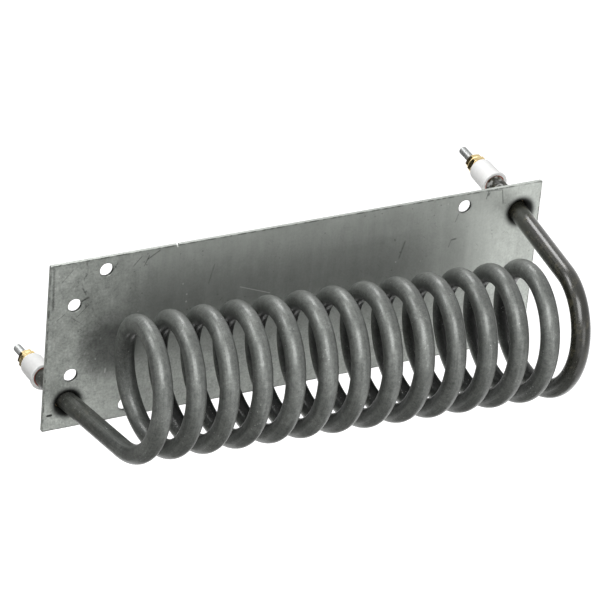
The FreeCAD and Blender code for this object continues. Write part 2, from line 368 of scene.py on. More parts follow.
@dataclass(frozen=True)
class ZincSheet:
    """Dull zinc-coated sheet, streaked across its length, clouded, and scored by handling.

    Args:
        colour: Colour of the clean sheet.
        bright_colour: Colour of the painted glints and of the bright scores.
        streak: Depth of the streaks.
        cloud: Depth of the broad clouding.
        mottle: Depth of the spots, which handling has made stronger near the edges.
        grain: Depth of the fine grain.
        roughness: Mean roughness.
        metallic: Metallic share.
        coil_shade: Share of the tone that the painted shade behind the coil takes.
        coil_shade_below: Share of that painted shade that is left below the coil.
        coil_end_shade: Share of the tone that painted shade takes beside the coil's left end.
        coil_end_shade_centre: Middle of that painted shade.
        end_highlight: How much paler a painted highlight makes the left and the right end.
        mouth_shade: Share of the tone that is left under the painted shade in a collar's mouth.
        wall_shade: Loss on the walls of the bolt holes.
        lip_shade: Loss round their edges.
        slot_shade: Loss in the struck slot.
        border: Width of the dark line along the sheared edges.
        border_shade: Loss in that line.
        pits: Loss in the pits.
        hairs: Loss in the hair scratches.
        glints: Share of the bright colour in the painted glints.
        scoring: Strength of all the scores.
        scratches: The scores.
    """

    colour: Colour = (0.426, 0.446, 0.420)
    bright_colour: Colour = (0.80, 0.81, 0.79)
    streak: float = 0.22
    cloud: float = 0.30
    mottle: float = 0.50
    grain: float = 0.40
    roughness: float = 0.57
    metallic: float = 0.85
    coil_shade: float = 0.40
    coil_shade_below: float = 0.50
    coil_end_shade: float = 0.62
    coil_end_shade_centre: Triple = (mm(-114.5), 0.0, mm(-5.0))
    end_highlight: Pair = (0.07, 0.27)
    mouth_shade: float = 0.10
    wall_shade: float = 0.88
    lip_shade: float = 0.22
    slot_shade: float = 0.84
    border: float = mm(1.2)
    border_shade: float = 0.58
    pits: float = 0.34
    hairs: float = 0.30
    glints: float = 0.50
    scoring: float = 1.35
    scratches: tuple[Scratch, ...] = (
        Scratch((-147.3, 17.2), (-142.4, 20.7), 0.5, 0.30),
        Scratch((-135.5, 17.2), (-128.3, 24.3), 0.5, 0.28),
        Scratch((-133.1, 26.9), (-128.6, 28.7), 0.9, 0.40),
        Scratch((-132.8, 35.3), (-130.4, 30.4), 0.7, 0.35),
        Scratch((-145.3, 40.7), (-138.6, 47.8), 0.5, 0.25),
        Scratch((-132.3, 40.5), (-130.3, 43.7), 0.7, 0.30),
        Scratch((-103.2, 43.1), (-98.4, 48.4), 0.5, 0.35),
        Scratch((-96.7, 41.9), (-93.7, 48.4), 0.5, 0.35),
        Scratch((-94.8, 46.0), (-87.4, 50.4), 0.7, 0.35),
        Scratch((-150.2, 50.3), (-149.8, 24.0), 1.2, 0.36),
        Scratch((-131.0, 50.2), (-130.9, 48.8), 0.8, 0.34),
        Scratch((-133.2, 37.8), (-132.8, 36.6), 0.9, 0.28),
        Scratch((-130.8, 33.2), (-130.4, 31.8), 0.9, 0.30),
        Scratch((-113.8, 45.2), (-113.6, 44.0), 0.8, 0.32),
        Scratch((-126.4, 21.8), (-126.0, 20.8), 0.9, 0.26),
        Scratch((-130.6, 24.2), (-130.2, 22.8), 1.1, 0.30),
        # Bright scores painted as glints beside the coil's left end, down to the next dark score
        Scratch((-116.1, -18.2), (-116.3, -21.2), 0.7, -0.26),
        Scratch((-122.6, -10.9), (-122.4, -11.5), 0.7, -0.34),
        Scratch((-129.2, -6.0), (-129.4, -7.2), 0.9, -0.16),
        Scratch((-119.9, -23.8), (-120.1, -25.2), 1.0, -0.18),
        Scratch((-124.5, -17.4), (-124.5, -18.8), 0.8, -0.14),
        Scratch((-120.2, 2.0), (-120.2, 0.6), 0.7, -0.12),
        Scratch((-115.1, 43.1), (-112.4, 47.4), 0.6, 0.30),
        Scratch((-56.5, 23.7), (-53.5, 35.7), 0.7, 0.18),
        Scratch((-138.5, 17.7), (-131.0, 11.8), 0.5, 0.18),
        Scratch((63.0, 17.6), (65.9, 28.3), 0.9, 0.28),
        Scratch((96.1, 23.7), (99.3, 23.9), 0.9, 0.42),
        Scratch((94.6, 19.1), (96.1, 23.7), 0.6, 0.20),
        Scratch((116.2, 46.2), (117.2, 51.2), 0.5, 0.38),
        Scratch((117.2, 51.2), (126.2, 50.5), 0.5, 0.38),
        Scratch((126.2, 50.5), (127.7, 41.4), 0.6, 0.42),
        Scratch((117.3, 48.2), (118.0, 50.2), 1.0, 0.45),
        Scratch((99.1, 40.0), (97.3, 34.7), 0.6, 0.20),
        Scratch((-36.7, 18.0), (-17.5, 10.6), 0.4, -0.35),
    )

    def _scored(self, graph: Graph, place: Signal) -> tuple[Operand, Operand]:
        """Lay out the scores.

        Args:
            graph: The sheet's graph.
            place: Position on the sheet.

        Returns:
            Sum of the dark scores and sum of the bright ones.
        """
        x, _, z = graph.axes(place)
        dark: Operand = 0.0
        bright: Operand = 0.0
        for score in self.scratches:
            start_x, start_z, end_x, end_z, width = score.in_metres()
            run = Vector((end_x - start_x, end_z - start_z))
            half = run.length / 2
            ahead, aside = run / run.length, Vector((-run.y, run.x)) / run.length
            along = (x - start_x) * ahead.x + (z - start_z) * ahead.y
            across = (x - start_x) * aside.x + (z - start_z) * aside.y
            ends = abs(along - half).step(half - width, half + width, 1.0, 0.0)
            line = abs(across).step(0.0, width, abs(score.tone) * self.scoring, 0.0) * ends
            if score.tone > 0:
                dark = line + dark
            else:
                bright = line + bright
        return dark, bright

    def _front(self, graph: Graph, place: Signal, plan: SheetPlan) -> Signal:
        """1 on the coil's side of the sheet and 0 on its back."""
        return graph.axes(place)[1].step(plan.thickness * 0.4, plan.thickness * 0.6, 1.0, 0.0)

    def _distance(self, graph: Graph, flat: Signal, centre: Sequence[float]) -> Signal:
        """Distance in the sheet's plane from a centre."""
        return graph.vector_math("DISTANCE", flat, (centre[0], 0.0, centre[2]), out="Value")

    def _openings(self, graph: Graph, place: Signal, plan: SheetPlan) -> Signal:
        """Paint shade into the collars' mouths; darken the holes' walls and lips, slot and sheared edges.

        Args:
            graph: The sheet's graph.
            place: Position on the sheet.
            plan: The sheet's openings and edges.

        Returns:
            Share of the tone that is left.
        """
        x, y, z = graph.axes(place)
        flat = graph.vector(x, 0.0, z)
        share: Operand = 1.0
        mouth_radius, rim = plan.mouth_radius, plan.hole_radius
        # Painted shade in each collar's rounded mouth
        for mouth in plan.mouths:
            near = self._distance(graph, flat, mouth)
            share = near.step(mouth_radius * 0.76, mouth_radius * 1.22, self.mouth_shade, 1.0) * share
        nearest = self._distance(graph, flat, plan.holes[0])
        for hole in plan.holes[1:]:
            nearest = nearest.least(self._distance(graph, flat, hole))
        inside = abs(y - plan.thickness / 2).step(plan.thickness * 0.36, plan.thickness * 0.46, 1.0, 0.0)
        wall = nearest.step(rim + mm(0.02), rim + mm(0.10), self.wall_shade, 0.0) * inside
        lip = nearest.step(rim + mm(0.2), rim + mm(1.0), self.lip_shade, 0.0) * (1.0 - inside)
        span, breadth = plan.dash_size
        beyond = (abs(x - plan.dash.x) - (span - breadth) / 2).most(0.0)
        rise = z - plan.dash.z
        slot = (beyond * beyond + rise * rise).root()
        struck = slot.step(breadth * 0.40, breadth * 0.70, self.slot_shade, 0.0)
        struck = struck * self._front(graph, place, plan)
        edge = (plan.half_length - abs(x)).least(plan.half_height - abs(z))
        ragged = graph.noise(place, 240.0, 2.0).step(0.40, 0.62, 0.15, 1.0)
        line = edge.step(self.border * 0.35, self.border, self.border_shade, 0.0) * ragged * (1.0 - inside)
        return share * (1.0 - struck) * (1.0 - wall) * (1.0 - lip) * (1.0 - line)

    def _painted_shade_and_highlight(self, graph: Graph, place: Signal, cloud: Signal) -> Signal:
        """Paint shade behind the coil and by its left end, and paint the sheet's ends paler as a highlight.

        Args:
            graph: The sheet's graph.
            place: Position on the sheet.
            cloud: Clouding of the painted shade, near 1.

        Returns:
            Share of the tone that is left, above 1 at the ends, where a highlight is painted.
        """
        x, _, z = graph.axes(place)
        # Painted shade on the sheet behind the coil, weaker below it
        band = z.step(mm(8.0), mm(62.0), 1.0, 0.0) * z.step(mm(-34.0), mm(2.0), self.coil_shade_below, 1.0)
        span = x.step(mm(-122.0), mm(-90.0)) * x.step(mm(50.0), mm(112.0), 1.0, 0.0)
        # Painted shade beside the coil's left end
        off_coil_end_shade = self._distance(graph, graph.vector(x, 0.0, z), self.coil_end_shade_centre)
        coil_end_shade = off_coil_end_shade.step(mm(8.0), mm(26.0), self.coil_end_shade, 0.0)
        # Painted highlight that makes the left and the right end paler
        left, right = self.end_highlight
        ends = x.step(mm(-140.0), mm(-116.0), left, 0.0) + x.step(mm(96.0), mm(136.0), 0.0, right)
        return (1.0 - band * span * cloud * self.coil_shade) * (1.0 - coil_end_shade * cloud) * (1.0 + ends)

    def _handled(self, graph: Graph, place: Signal, plan: SheetPlan) -> Signal:
        """How strong the spots and the grain are: most at the left end, and more along the foot.

        Args:
            graph: The sheet's graph.
            place: Position on the sheet.
            plan: The sheet's openings and edges.

        Returns:
            A factor of 0.7 where the sheet is even, and up to 2.8.
        """
        x, _, z = graph.axes(place)
        half, even = plan.half_length, 0.7
        left_end = x.step(half * -0.85, half * -0.55, 2.8, even)
        right_end = x.step(half * 0.70, half * 0.95, even, 1.5)
        return left_end.most(right_end).most(z.step(mm(-28.0), mm(4.0), 2.3, even))

    def material(self, plan: SheetPlan) -> bpy.types.Material:
        """Build the material.

        Args:
            plan: The sheet's openings and edges.

        Returns:
            The sheet's material.
        """
        graph = Graph("zinc_sheet")
        place = graph.place()
        streaks = graph.noise(graph.stretched(place, (1100.0, 1100.0, 50.0)), detail=4.0, rough=0.62)
        broad = graph.noise(graph.stretched(place, (210.0, 210.0, 26.0)), detail=3.0)
        cloud = graph.noise(place, 26.0, 4.0, 0.62)
        mottle = graph.noise(place, 150.0, 5.0, 0.70)
        grain = graph.noise(place, 720.0, 3.0, 0.65)
        worn = graph.noise(place, 22.0, 2.0).step(0.46, 0.60)
        pits = graph.cells(place, 300.0).step(0.08, 0.20, 1.0, 0.0)
        pits = pits * graph.noise(place, 55.0).step(0.50, 0.62)
        # Painted glints: small pale spots of the bright colour
        glints = graph.cells(graph.stretched(place, (260.0, 260.0, 200.0)), 1.0).step(0.06, 0.16, 1.0, 0.0)
        glints = glints * graph.noise(place, 38.0, 2.0).step(0.54, 0.66)
        front = self._front(graph, place, plan)
        dark, bright = (score * front for score in self._scored(graph, place))
        hairs = graph.noise(graph.stretched(place, (190.0, 190.0, 2400.0), (0.0, 0.8, 0.0)), detail=2.0)
        hair = hairs.step(0.62, 0.74) * worn
        tone = 1.0 + (streaks + broad - 1.0) * self.streak + (cloud - 0.5) * self.cloud
        spots = (mottle - 0.5) * self.mottle + (grain - 0.5) * self.grain
        tone = tone + spots * self._handled(graph, place, plan)
        tone = (tone - dark - pits * self.pits - hair * self.hairs) * self._openings(graph, place, plan)
        # Painted shade behind the coil and by its left end, and a painted highlight at the ends
        tone = tone * self._painted_shade_and_highlight(graph, place, (0.5 + cloud) * front)
        colour = graph.scale_colour(self.colour, tone)
        colour = graph.mix(bright + glints * self.glints, colour, self.bright_colour)
        roughness = self.roughness + (streaks - 0.5) * 0.16 + (cloud - 0.5) * 0.20 + (mottle - 0.5) * 0.16
        relief = graph.bump(streaks + broad * 0.6 + grain * 0.5, mm(0.025))
        relief = graph.bump(dark + pits * 0.5 + hair * 0.4, mm(-0.05), under=relief)
        return graph.surface(
            {"Metallic": self.metallic, "IOR": 1.5},
            {"Base Color": colour, "Roughness": roughness, "Normal": relief},
        )


@dataclass(frozen=True)
class SheathOxide:
    """Tube scale: satin dark grey and speckled, and browner and glossier where the torch held the legs.

    Args:
        colour: Colour of the coil's scale.
        pale_colour: Colour of its paler clouds.
        leg_colour: Colour of the legs.
        stain_colour: Colour of the stains on the legs.
        speck_colour: Colour of bare specks, and of the metal that the bush has rubbed.
        metallic: Metallic share of the coil.
        roughness: Mean roughness of the coil.
        leg_roughness: Mean roughness of the right leg.
        coat: Weight of the coil's sheen.
        shade: Share of the tone that painted shade takes on the inside of the turns.
        shade_at_start: Share of that painted shade on the left leg.
        leg_reach: Length of the browned stretch at the right leg, from the tube's end.
        first_leg: How far the left leg is browned.
        right_darkening: Share of the tone that is lost over the coil's right middle.
        right_darkening_end: Share that comes back beyond it.
        specks: Share of the speck colour in the specks.
        flecks: Share of it in the finer flecks.
        rubbed: Share of it where the right bush has rubbed the tube.
    """

    colour: Colour = (0.140, 0.148, 0.139)
    pale_colour: Colour = (0.200, 0.210, 0.198)
    leg_colour: Colour = (0.018, 0.018, 0.013)
    stain_colour: Colour = (0.060, 0.055, 0.037)
    speck_colour: Colour = (0.50, 0.51, 0.49)
    metallic: float = 0.60
    roughness: float = 0.48
    leg_roughness: float = 0.24
    coat: float = 0.45
    shade: float = 0.87
    shade_at_start: float = 0.30
    leg_reach: float = mm(210.0)
    first_leg: float = 0.68
    right_darkening: float = 0.12
    right_darkening_end: float = 0.06
    specks: float = 0.65
    flecks: float = 0.38
    rubbed: float = 0.62

    def _inward(self, graph: Graph, place: Signal, line: "CentreLine") -> Signal:
        """Find the side of each turn that faces the coil's axis, where shade is painted on the scale.

        Args:
            graph: The tube's graph.
            place: Position on the tube.
            line: The line that the tube follows.

        Returns:
            1 on that side, and 0 on the outside of the turns.
        """
        arm = graph.vector_math("SUBTRACT", place, tuple(line.place.translation))
        axis = tuple(line.place.to_3x3() @ Vector((1, 0, 0)))
        reach = graph.vector_math("LENGTH", graph.vector_math("CROSS_PRODUCT", arm, axis), out="Value")
        low, high = (line.mean_radius - line.sheath_radius * share for share in (0.95, 0.02))
        return reach.step(low, high, 1.0, 0.0)

    def _tone(self, graph: Graph, place: Signal, along: Signal, line: "CentreLine") -> Signal:
        """Paint shade on the inside of the turns, and darken the coil's right middle.

        Args:
            graph: The tube's graph.
            place: Position on the tube.
            along: Distance along the tube.
            line: The line that the tube follows.

        Returns:
            Share of the tone that is left.
        """
        # Painted shade on the side of the turns that faces the coil's axis, weaker at the start
        black = along.step(mm(290.0), mm(350.0), self.shade_at_start, 1.0) * self._inward(graph, place, line)
        x = graph.axes(place)[0]
        # The coil's right middle is made darker, and less so beyond it
        right_darkening = x.step(mm(0.0), mm(45.0), 0.0, self.right_darkening)
        right_darkening = right_darkening - x.step(mm(80.0), mm(115.0), 0.0, self.right_darkening_end)
        return (1.0 - right_darkening) * (1.0 - black * self.shade)

    def material(self, length: float, line: "CentreLine") -> bpy.types.Material:
        """Build the material.

        Args:
            length: Length of the tube from end to end.
            line: The line that the tube follows.

        Returns:
            The sheath's material.
        """
        graph = Graph("sheath_oxide")
        place = graph.place()
        along, around = graph.along_tube()
        grain = graph.noise(place, 1000.0, 4.0, 0.68)
        speckle = graph.noise(place, 420.0, 3.0, 0.65)
        cloud = graph.noise(place, 60.0, 5.0, 0.65)
        drawn = graph.noise(graph.vector(along * 30.0, around * 30.0, 0.0), 1.0, 4.0, 0.66)
        specks = graph.cells(place, 430.0).step(0.06, 0.20, 1.0, 0.0)
        specks = specks * graph.noise(place, 70.0, 2.0).step(0.52, 0.66)
        flecks = graph.noise(place, 800.0, 2.0).step(0.62, 0.74) * cloud.step(0.45, 0.60)
        leg = along.step(length - self.leg_reach, length - self.leg_reach * 0.78)
        brown = leg.most(along.step(mm(60.0), mm(125.0), self.first_leg, 0.0))
        tone = 1.0 + (grain - 0.5) * 1.1 + (speckle - 0.5) * 0.95 + (drawn - 0.5) * (0.90 + brown * 1.7)
        colour = graph.mix(cloud.step(0.40, 0.72), self.colour, self.pale_colour)
        stained = graph.noise(place, 160.0, 4.0, 0.7).step(0.50, 0.66)
        colour = graph.mix(brown, colour, graph.mix(stained, self.leg_colour, self.stain_colour))
        colour = graph.scale_colour(colour, tone * self._tone(graph, place, along, line))
        bare = (specks * self.specks + flecks * self.flecks) * (1.0 - leg * 0.6)
        colour = graph.mix(bare, colour, self.speck_colour)
        rubbed = along.step(length - mm(25.0), length - mm(17.0), 0.0, self.rubbed)
        rubbed = rubbed * graph.noise(place, 260.0, 3.0).step(0.44, 0.58)
        colour = graph.mix(rubbed, colour, self.speck_colour)
        tail = along.step(length - mm(48.0), length - mm(36.0))
        roughness = self.roughness + (grain - 0.5) * 0.16 + (cloud - 0.5) * 0.16
        roughness = roughness + leg * (self.leg_roughness - self.roughness) + tail * 0.25
        coat = (leg * (1.0 - self.coat) + self.coat) * (1.0 - specks * 0.5) * (1.0 - tail * 0.85)
        relief = graph.bump(grain + speckle, mm(0.05), 0.7)
        relief = graph.bump(drawn, mm(0.03), 0.5, relief)
        return graph.surface(
            {"IOR": 1.30, "Coat Roughness": 0.24},
            {
                "Base Color": colour,
                "Roughness": roughness,
                "Metallic": (1.0 - brown) * self.metallic,
                "Coat Weight": coat,
                "Normal": relief,
            },
        )


@dataclass(frozen=True)
class PlainFinish:
    """A finish of one colour with grain, clouding and a fine relief.

    Args:
        name: Name of the material.
        colour: Colour of the clean surface.
        shade: Colour that the clouding leads to.
        metallic: Metallic share.
        roughness: Mean roughness.
        grain: Noise cycles for each metre.
        relief: Depth of the grain in metres.
        coat: Weight of a clear glaze.
        stretch: How far the grain is drawn out along each axis.
    """

    name: str
    colour: Colour
    shade: Colour
    metallic: float = 0.0
    roughness: float = 0.42
    grain: float = 2600.0
    relief: float = mm(0.004)
    coat: float = 0.0
    stretch: Triple = (1.0, 1.0, 1.0)

    def material(self) -> bpy.types.Material:
        """Build the material.

        Returns:
            The material.
        """
        graph = Graph(self.name)
        place = graph.place()
        grain = graph.noise(graph.stretched(place, self.stretch), self.grain, 4.0, 0.6)
        cloud = graph.noise(place, self.grain * 0.12, 3.0, 0.6)
        colour = graph.mix(cloud.step(0.42, 0.72), self.colour, self.shade)
        colour = graph.scale_colour(colour, 1.0 + (grain - 0.5) * 0.16)
        roughness = self.roughness + (grain - 0.5) * 0.14
        fixed = {"Metallic": self.metallic, "Coat Weight": self.coat, "Coat Roughness": 0.06}
        varied = {"Base Color": colour, "Roughness": roughness, "Normal": graph.bump(grain, self.relief, 0.6)}
        return graph.surface(fixed, varied)


GLAZE = PlainFinish(
    "white_glaze",
    (0.95, 0.95, 0.94),
    (0.92, 0.92, 0.905),
    roughness=0.45,
    grain=500.0,
    relief=mm(0.006),
    coat=0.15,
)
BRASS = PlainFinish(
    "turned_brass",
    (0.88, 0.70, 0.37),
    (0.70, 0.52, 0.24),
    metallic=1.0,
    roughness=0.18,
    stretch=(1.0, 0.12, 1.0),
)
WASHER = PlainFinish("bright_washer", (0.95, 0.80, 0.46), (0.88, 0.70, 0.36), metallic=1.0, grain=1800.0)
STUD = PlainFinish(
    "plated_stud", (0.42, 0.43, 0.43), (0.30, 0.31, 0.30), metallic=1.0, stretch=(1.0, 0.15, 1.0)
)
SEAL = PlainFinish(
    "seal_compound", (0.46, 0.085, 0.045), (0.30, 0.06, 0.035), roughness=0.62, grain=1600.0, relief=mm(0.06)
)
BRAZE = PlainFinish(
    "braze_metal", (0.36, 0.29, 0.18), (0.14, 0.12, 0.10), metallic=0.9, grain=700.0, relief=mm(0.12)
)
MAGNESIA = PlainFinish(
    "pressed_magnesia", (0.80, 0.79, 0.75), (0.70, 0.69, 0.66), roughness=0.85, grain=3000.0, relief=mm(0.05)
)
WINDING = PlainFinish(
    "resistance_winding",
    (0.55, 0.52, 0.48),
    (0.40, 0.37, 0.34),
    metallic=1.0,
    roughness=0.35,
    grain=2500.0,
    relief=mm(0.02),
)


Ring = list[int]


class Solid:
    """Collects rings of vertices and the faces between them, and turns them into a piece."""

    def __init__(self) -> None:
        """Start with nothing."""
        self.points: list[Vector] = []
        self.faces: list[tuple[int, ...]] = []
        self.maps: dict[int, Pair] = {}

    def ring(self, points: Iterable[Vector], place: Matrix | None = None) -> Ring:
        """Add a closed loop of points.

        Args:
            points: The points in order.
            place: Placement that they are written in, where it isn't the part's own.

        Returns:
            Their indices.
        """
        first = len(self.points)
        self.points.extend(point if place is None else place @ point for point in points)
        return list(range(first, len(self.points)))

    def bridge(self, near: Ring, far: Ring) -> None:
        """Join two loops of the same count with four-sided faces.

        Args:
            near: The first loop.
            far: The second loop.
        """
        count = len(near)
        for index in range(count):
            after = (index + 1) % count
            self.faces.append((near[index], near[after], far[after], far[index]))

    def skin(self, rings: Sequence[Ring], closed: bool = False) -> None:
        """Join a row of loops, each to the next.

        Args:
            rings: The loops in order.
            closed: Whether the last one is joined to the first.
        """
        if closed:
            self.bridge(rings[-1], rings[0])
        for near, far in zip(rings, rings[1:]):
            self.bridge(near, far)

    def cap(self, ring: Ring) -> None:
        """Close a loop with a fan from its middle.

        Args:
            ring: The loop.
        """
        middle = sum((self.points[index] for index in ring), Vector()) / len(ring)
        hub = self.ring([middle])[0]
        for index, vertex in enumerate(ring):
            self.faces.append((vertex, ring[(index + 1) % len(ring)], hub))

    def fill(self, rings: Sequence[Ring]) -> None:
        """Fill the flat face bounded by an outline and the holes in it.

        Args:
            rings: The outline and the edges of the holes.
        """
        sheet = bmesh.new()
        back: dict[bmesh.types.BMVert, int] = {}
        edges = []
        for ring in rings:
            corners = [sheet.verts.new(self.points[index]) for index in ring]
            back.update(zip(corners, ring))
            edges.extend(sheet.edges.new((corners[at - 1], corners[at])) for at in range(len(corners)))
        filled = bmesh.ops.triangle_fill(sheet, use_beauty=True, use_dissolve=False, edges=edges)
        for item in filled["geom"]:
            if isinstance(item, bmesh.types.BMFace):
                self.faces.append(tuple(back[corner] for corner in item.verts))
        sheet.free()

    def piece(self, name: str, material: bpy.types.Material, crease: float = CREASE) -> bpy.types.Object:
        """Make the object.

        Args:
            name: Name of the piece.
            material: Its finish.
            crease: Angle in degrees above which an edge stays sharp.

        Returns:
            The object, linked to the scene.
        """
        mesh = bpy.data.meshes.new(name)
        mesh.from_pydata([tuple(point) for point in self.points], [], self.faces)
        if self.maps:
            layer = mesh.uv_layers.new(name=TUBE_MAP)
            for loop in mesh.loops:
                layer.data[loop.index].uv = self.maps[loop.vertex_index]
        shape = bmesh.new()
        shape.from_mesh(mesh)
        bmesh.ops.recalc_face_normals(shape, faces=shape.faces)
        shape.to_mesh(mesh)
        shape.free()
        mesh.shade_smooth()
        mesh.set_sharp_from_angle(angle=math.radians(crease))
        mesh.materials.append(material)
        made = bpy.data.objects.new(name, mesh)
        bpy.context.scene.collection.objects.link(made)
        return made


@dataclass(frozen=True)
class Corner:
    """A corner of a turned outline: distance from the axis, height along it, and rounding."""

    radius: float
    height: float
    rounding: float = 0.0


def rounded_outline(corners: Sequence[Corner], steps: int = 6) -> list[Pair]:
    """Replace each rounded corner of a closed outline by points on its arc.

    Args:
        corners: The outline's corners in order.
        steps: Number of parts that an arc is divided into.

    Returns:
        Radius and height pairs.
    """
    outline: list[Pair] = []
    for index, corner in enumerate(corners):
        at = Vector((corner.radius, corner.height))
        if corner.rounding <= 0.0:
            outline.append((at.x, at.y))
            continue
        before = corners[index - 1]
        after = corners[(index + 1) % len(corners)]
        back = (Vector((before.radius, before.height)) - at).normalized()
        ahead = (Vector((after.radius, after.height)) - at).normalized()
        half = back.angle(ahead) / 2
        centre = at + (back + ahead).normalized() * (corner.rounding / math.sin(half))
        start = at + back * (corner.rounding / math.tan(half)) - centre
        end = at + ahead * (corner.rounding / math.tan(half)) - centre
        span = start.angle_signed(end)
        for step in range(steps + 1):
            arm = start.copy()
            arm.rotate(Matrix.Rotation(-span * step / steps, 2))
            outline.append((centre.x + arm.x, centre.y + arm.y))
    return outline


ByAngle = Callable[[float], float]


def circle(radius: float, height: float, count: int, wobble: ByAngle | None = None) -> list[Vector]:
    """Points round the Z axis.

    Args:
        radius: Distance from the axis.
        height: Distance along it.
        count: Number of points.
        wobble: Adds to the radius at an angle.

    Returns:
        The points.
    """
    points = []
    for index in range(count):
        angle = 2 * math.pi * index / count
        reach = radius + (wobble(angle) if wobble else 0.0)
        points.append(Vector((reach * math.cos(angle), reach * math.sin(angle), height)))
    return points


def flat_circle(centre: Vector, radius: float, count: int) -> list[Vector]:
    """Points round a centre, in a plane that lies along the sheet."""
    return [centre + Vector((spoke.x, 0, spoke.y)) for spoke in circle(radius, 0, count)]


def arc(radius: float, start: float, span: float, steps: int) -> list[Pair]:
    """Points of a circular arc.

    Args:
        radius: Its radius.
        start: Angle of the first point in degrees.
        span: Angle from the first point to the last, in degrees.
        steps: Number of parts that it is divided into.

    Returns:
        How far each point lies from the centre, across and up.
    """
    angles = [math.radians(start + span * step / steps) for step in range(steps + 1)]
    return [(radius * math.cos(angle), radius * math.sin(angle)) for angle in angles]


@dataclass(frozen=True)
class Station:
    """A point on the element's centre line, its direction, and the distance travelled to it."""

    point: Vector
    heading: Vector
    travelled: float


@dataclass
class CentreLine:
    """The line that the sheath follows from the left bush to the right one."""

    sheath_radius: float = mm(5.46)
    mean_radius: float = mm(34.43)
    pitch: float = mm(19.52)
    whole_turns: int = 13
    standoff: float = mm(60.25)
    drop: float = mm(0.4)
    shift: float = mm(0.5)
    droop: float = math.radians(1.66)
    splay: float = math.radians(1.09)
    lead: dict[Side, float] = per_side(math.radians(4.75), math.radians(3.5))
    tail_length: dict[Side, float] = per_side(mm(27.7), mm(25.2))
    side_lean: dict[Side, float] = per_side(math.radians(1.95), math.radians(0.9))
    up_lean: dict[Side, float] = per_side(math.radians(-4.75), math.radians(3.7))
    corner_depth: float = mm(5.15)
    bend_radius: float = mm(40.0)
    steps_per_turn: int = 84
    bend_steps: int = 6

    def __post_init__(self) -> None:
        """Work out the coil's placement."""
        turn = Matrix.Rotation(-self.splay, 4, "Z") @ Matrix.Rotation(self.droop, 4, "Y")
        self.place = Matrix.Translation((-self.shift, -self.standoff, -self.drop)) @ turn
        self.middle_angle = math.pi * (self.whole_turns + 0.5)

    def coil_angle(self, side: Side) -> float:
        """Angle at which a leg leaves the coil."""
        if side is Side.LEFT:
            return self.lead[side]
        return 2 * self.middle_angle - self.lead[side]

    def coil_point(self, angle: float) -> Vector:
        """Centre of the tube at an angle wound from the coil's lowest line at the left end."""
        along = self.pitch * (angle - self.middle_angle) / (2 * math.pi)
        across, up = -self.mean_radius * math.sin(angle), -self.mean_radius * math.cos(angle)
        return self.place @ Vector((along, across, up))

    def coil_heading(self, angle: float) -> Vector:
        """Direction of the winding at an angle, from left to right."""
        across, up = -self.mean_radius * math.cos(angle), self.mean_radius * math.sin(angle)
        return (self.place.to_3x3() @ Vector((self.pitch / (2 * math.pi), across, up))).normalized()

    def leg_heading(self, side: Side) -> Vector:
        """Direction of a leg, from the coil to the plate."""
        heading = self.coil_heading(self.coil_angle(side))
        return -heading if side is Side.LEFT else heading

    def tail_heading(self, side: Side) -> Vector:
        """Direction of a tail and its terminal, away from the plate."""
        return Vector((math.tan(self.side_lean[side]), 1.0, math.tan(self.up_lean[side]))).normalized()

    def on_leg(self, side: Side, depth: float) -> Vector:
        """Point where a leg's straight line stands at a depth behind the plate's coil-side face."""
        start, heading = self.coil_point(self.coil_angle(side)), self.leg_heading(side)
        return start + heading * ((depth - start.y) / heading.y)

    def corner(self, side: Side) -> Vector:
        """Where a leg turns into its tail, in the middle of the plate's collar."""
        return self.on_leg(side, self.corner_depth)

    def mouth(self, side: Side) -> Vector:
        """Middle of a bush's mouth."""
        return self.corner(side) + self.tail_heading(side) * self.tail_length[side]

    def terminal(self, side: Side) -> Matrix:
        """Placement whose Z runs out along a terminal from its bush's mouth."""
        turn = Vector((0, 0, 1)).rotation_difference(self.tail_heading(side))
        return Matrix.Translation(self.mouth(side)) @ turn.to_matrix().to_4x4()

    def way_in(self, side: Side, height: float) -> list[tuple[Vector, Vector]]:
        """Follow the line from a point on the tail, round the bend to the leg's straight run.

        Args:
            side: Which end of the element.
            height: How far the first point lies outwards from the bush's mouth.

        Returns:
            Points and directions.
        """
        tail, leg = self.tail_heading(side), self.leg_heading(side)
        turn = tail.angle(leg)
        reach = self.bend_radius * math.tan(turn / 2)
        axis = tail.cross(leg).normalized()
        start = self.corner(side) + tail * reach
        centre = start + axis.cross(tail) * self.bend_radius
        way = [(self.mouth(side) + tail * height, -tail)]
        for step in range(self.bend_steps + 1):
            twist = Quaternion(axis, turn * step / self.bend_steps)
            way.append((centre + twist @ (start - centre), -(twist @ tail)))
        return way

    def stations(self, height: float) -> list[Station]:
        """Follow the whole line from one tail to the other.

        Args:
            height: How far both ends lie outwards from their bush's mouth.

        Returns:
            The stations from left to right.
        """
        way = self.way_in(Side.LEFT, height)
        first, last = self.coil_angle(Side.LEFT), self.coil_angle(Side.RIGHT)
        count = math.ceil((last - first) / (2 * math.pi) * self.steps_per_turn)
        for step in range(count + 1):
            angle = first + (last - first) * step / count
            way.append((self.coil_point(angle), self.coil_heading(angle)))
        way.extend((point, -heading) for point, heading in reversed(self.way_in(Side.RIGHT, height)))
        line: list[Station] = []
        travelled = 0.0
        for index, (point, heading) in enumerate(way):
            if index:
                travelled += (point - way[index - 1][0]).length
            line.append(Station(point, heading, travelled))
        return line

    def near_plate(self, side: Side, depth: float) -> Station:
        """Find where the line crosses a depth behind the plate's coil-side face.

        Args:
            side: Which end of the element.
            depth: The depth.

        Returns:
            The place and direction there, with no distance travelled.
        """
        way = [(point, -heading) for point, heading in reversed(self.way_in(side, 0.0))]
        way.insert(0, (self.on_leg(side, mm(-5)), self.leg_heading(side)))
        for (near, heading), (far, next_heading) in zip(way, way[1:]):
            if near.y <= depth <= far.y:
                share = (depth - near.y) / (far.y - near.y)
                return Station(near.lerp(far, share), heading.lerp(next_heading, share).normalized(), 0.0)
        raise ValueError("the line doesn't cross that depth")


